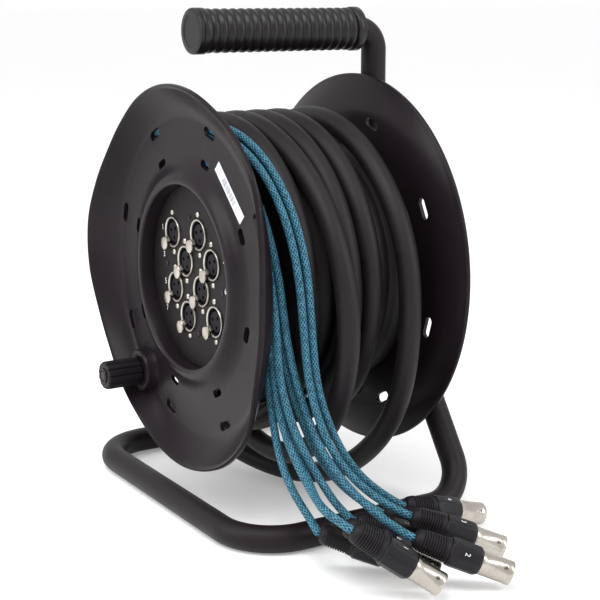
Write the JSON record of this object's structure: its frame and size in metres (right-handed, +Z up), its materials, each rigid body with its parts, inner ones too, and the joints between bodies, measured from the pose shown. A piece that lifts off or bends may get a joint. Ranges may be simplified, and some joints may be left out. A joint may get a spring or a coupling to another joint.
{
  "type": "stage box snake",
  "caption": "Multicore cable drum on a bent tube stand: microphone sockets in one flange, plugged leads, a winding knob and a ribbed carrying grip.",
  "frame": {"origin": "on the floor, under the middle of the rigid parts' footprint; the drum axle is 180 mm above it", "axes": "+Z up, the drum's axle along Y, the socket panel faces -Y, the cable leads hang on the +X side"},
  "size_m": [0.4259, 0.2207, 0.3822],
  "materials": {
    "paint": "satin black powder coat",
    "plastic": "smooth satin black",
    "rubber": "matt black",
    "panel_sheet": "fine textured black",
    "nickel": "satin nickel",
    "zinc": "bright zinc plate",
    "jacket": "matt cable jacket",
    "braid": "blue-green braid over a dark core",
    "nylon": "natural nylon"
  },
  "bodies": {
    "stand": {"frame_tube": "paint", "axle_bracket": "paint", "axle": "zinc", "axle_clip": "zinc", "handle_grip": "rubber", "grip_end_cap": "rubber", "multicore_tail": "jacket", "breakout_boot": "rubber", "lead_1": "braid", "lead_2": "braid", "lead_3": "braid", "lead_4": "braid", "lead_5": "braid", "lead_6": "braid", "lead_7": "braid", "lead_8": "braid", "plug_body_1": "rubber", "plug_body_2": "rubber", "plug_body_3": "rubber", "plug_body_4": "rubber", "plug_body_5": "rubber", "plug_body_6": "rubber", "plug_body_7": "rubber", "plug_body_8": "rubber", "plug_shell_1": "nickel", "plug_shell_2": "nickel", "plug_shell_3": "nickel", "plug_shell_4": "nickel", "plug_shell_5": "nickel", "plug_shell_6": "nickel", "plug_shell_7": "nickel", "plug_shell_8": "nickel"},
    "drum": {"panel_flange": "plastic", "far_flange": "plastic", "drum_core": "plastic", "inner_layers": "jacket", "near_bush": "nylon", "far_bush": "nylon", "connector_panel": "panel_sheet", "knob_spindle": "zinc", "multicore_winding": "jacket", "cable_gland": "rubber", "socket_1": "nickel", "socket_2": "nickel", "socket_3": "nickel", "socket_4": "nickel", "socket_5": "nickel", "socket_6": "nickel", "socket_7": "nickel", "socket_8": "nickel"},
    "knob": {"winding_knob": "rubber", "knob_cap": "plastic"},
    "latch_1": {"latch_1": "nickel"},
    "latch_2": {"latch_2": "nickel"},
    "latch_3": {"latch_3": "nickel"},
    "latch_4": {"latch_4": "nickel"},
    "latch_5": {"latch_5": "nickel"},
    "latch_6": {"latch_6": "nickel"},
    "latch_7": {"latch_7": "nickel"},
    "latch_8": {"latch_8": "nickel"}
  },
  "joints": [
    {"name": "drum_spin", "type": "hinge", "parent": "stand", "child": "drum", "pos_m": [0, 0, 0.18], "axis": [0, 1, 0], "continuous": true},
    {"name": "knob_spin", "type": "hinge", "parent": "drum", "child": "knob", "pos_m": [-0.07617, -0.09105, 0.08922], "axis": [0, 1, 0], "continuous": true},
    {"name": "latch_1_press", "type": "slide", "parent": "drum", "child": "latch_1", "axis": [0, 1, 0], "range_m": [0, 0.0006], "stiffness_N_per_m": 400, "springref_m": -0.0004},
    {"name": "latch_2_press", "type": "slide", "parent": "drum", "child": "latch_2", "axis": [0, 1, 0], "range_m": [0, 0.0006], "stiffness_N_per_m": 400, "springref_m": -0.0004},
    {"name": "latch_3_press", "type": "slide", "parent": "drum", "child": "latch_3", "axis": [0, 1, 0], "range_m": [0, 0.0006], "stiffness_N_per_m": 400, "springref_m": -0.0004},
    {"name": "latch_4_press", "type": "slide", "parent": "drum", "child": "latch_4", "axis": [0, 1, 0], "range_m": [0, 0.0006], "stiffness_N_per_m": 400, "springref_m": -0.0004},
    {"name": "latch_5_press", "type": "slide", "parent": "drum", "child": "latch_5", "axis": [0, 1, 0], "range_m": [0, 0.0006], "stiffness_N_per_m": 400, "springref_m": -0.0004},
    {"name": "latch_6_press", "type": "slide", "parent": "drum", "child": "latch_6", "axis": [0, 1, 0], "range_m": [0, 0.0006], "stiffness_N_per_m": 400, "springref_m": -0.0004},
    {"name": "latch_7_press", "type": "slide", "parent": "drum", "child": "latch_7", "axis": [0, 1, 0], "range_m": [0, 0.0006], "stiffness_N_per_m": 400, "springref_m": -0.0004},
    {"name": "latch_8_press", "type": "slide", "parent": "drum", "child": "latch_8", "axis": [0, 1, 0], "range_m": [0, 0.0006], "stiffness_N_per_m": 400, "springref_m": -0.0004}
  ]
}
